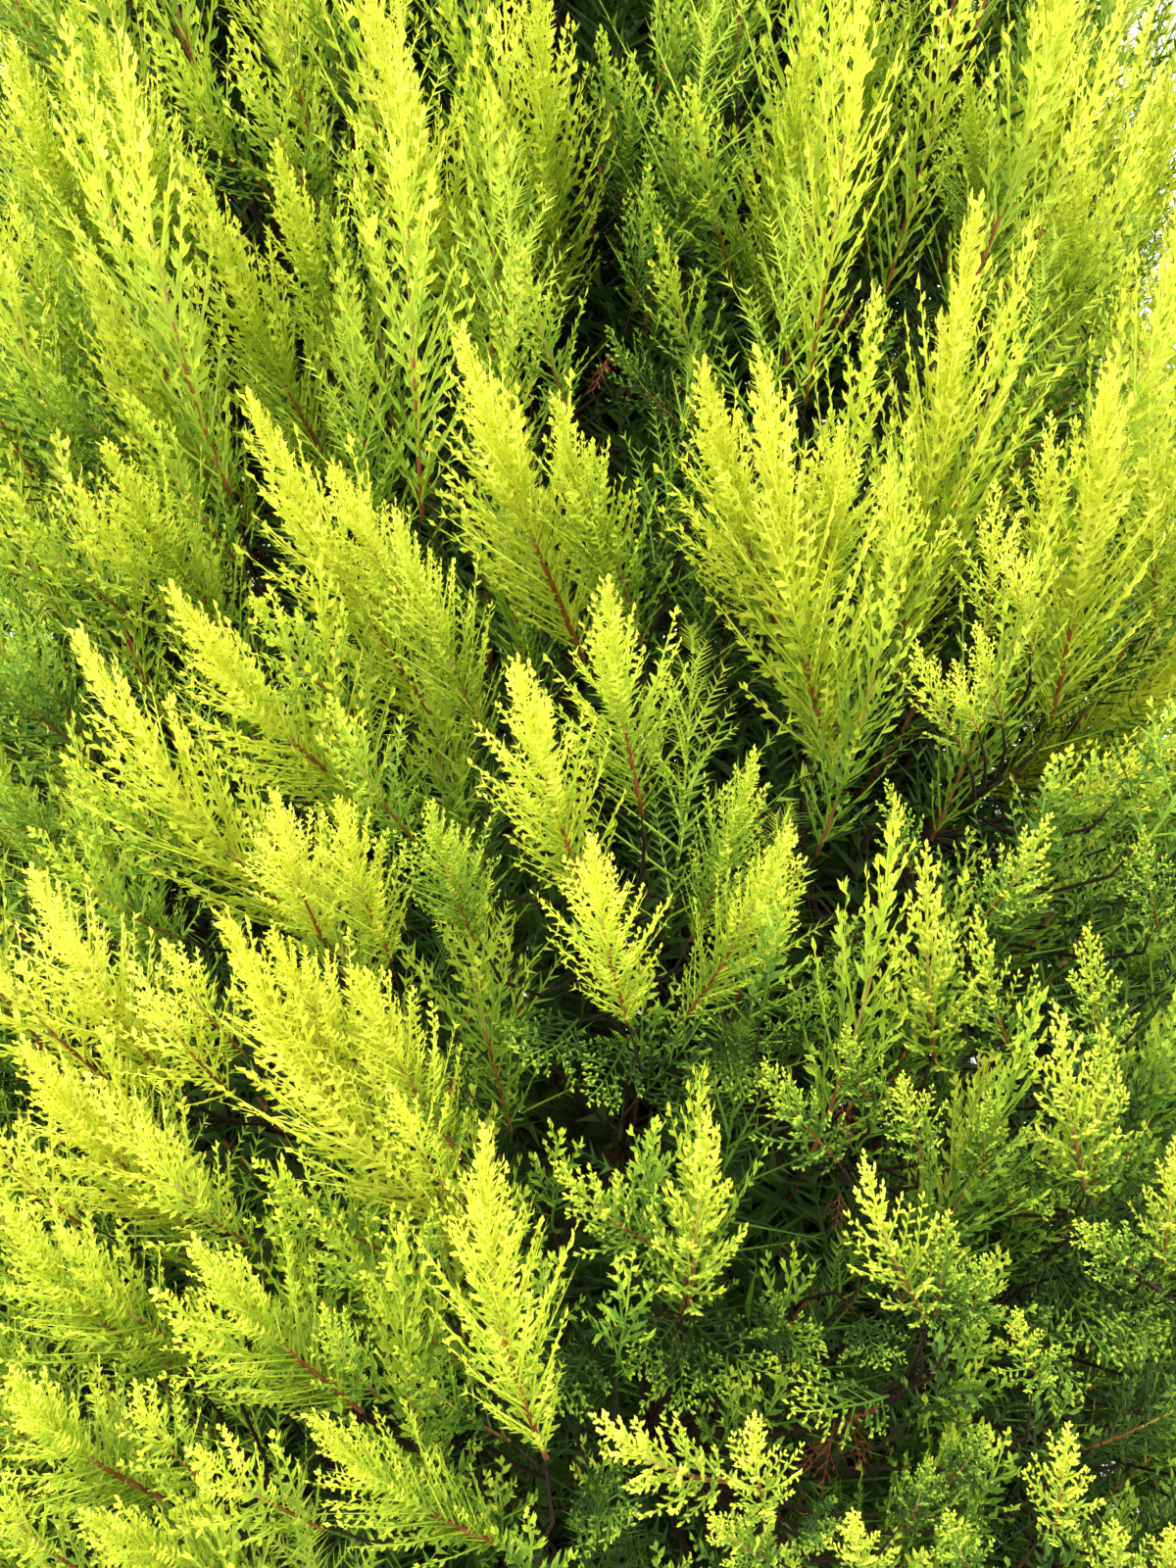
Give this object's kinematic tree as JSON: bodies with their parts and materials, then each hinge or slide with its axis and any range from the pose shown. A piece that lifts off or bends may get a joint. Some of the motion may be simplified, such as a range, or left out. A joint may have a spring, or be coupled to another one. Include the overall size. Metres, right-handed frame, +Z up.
{
  "type": "golden cypress tree",
  "caption": "Whole golden cypress: a tapering trunk with a root flare, ascending red-brown boughs and dense yellow-green feathery plumes down to the ground.",
  "frame": {"origin": "middle of the trunk's flat cut at ground level", "axes": "+Z up along the trunk to the leader, -Y towards the pictured side of the crown, +X to its right"},
  "size_m": [1.217, 1.2069, 3],
  "materials": {
    "trunk_bark": "rough fibrous bark",
    "bough_bark": "smooth red-brown bark",
    "foliage": "matt scale-leaved sprays"
  },
  "bodies": {
    "root": {"trunk": "trunk_bark", "bough_01": "bough_bark", "foliage_01": "foliage", "bough_02": "bough_bark", "foliage_02": "foliage", "bough_03": "bough_bark", "foliage_03": "foliage", "bough_04": "bough_bark", "foliage_04": "foliage", "bough_05": "bough_bark", "foliage_05": "foliage", "bough_06": "bough_bark", "foliage_06": "foliage", "bough_07": "bough_bark", "foliage_07": "foliage", "bough_08": "bough_bark", "foliage_08": "foliage", "bough_09": "bough_bark", "foliage_09": "foliage", "bough_10": "bough_bark", "foliage_10": "foliage", "bough_11": "bough_bark", "foliage_11": "foliage", "bough_12": "bough_bark", "foliage_12": "foliage", "bough_13": "bough_bark", "foliage_13": "foliage", "bough_14": "bough_bark", "foliage_14": "foliage", "bough_15": "bough_bark", "foliage_15": "foliage", "bough_16": "bough_bark", "foliage_16": "foliage", "bough_17": "bough_bark", "foliage_17": "foliage", "bough_18": "bough_bark", "foliage_18": "foliage", "bough_19": "bough_bark", "foliage_19": "foliage", "bough_20": "bough_bark", "foliage_20": "foliage", "bough_21": "bough_bark", "foliage_21": "foliage", "bough_22": "bough_bark", "foliage_22": "foliage", "bough_23": "bough_bark", "foliage_23": "foliage", "bough_24": "bough_bark", "foliage_24": "foliage", "bough_25": "bough_bark", "foliage_25": "foliage", "bough_26": "bough_bark", "foliage_26": "foliage", "bough_27": "bough_bark", "foliage_27": "foliage", "bough_28": "bough_bark", "foliage_28": "foliage", "bough_29": "bough_bark", "foliage_29": "foliage", "foliage_leader": "foliage"}
  },
  "joints": []
}
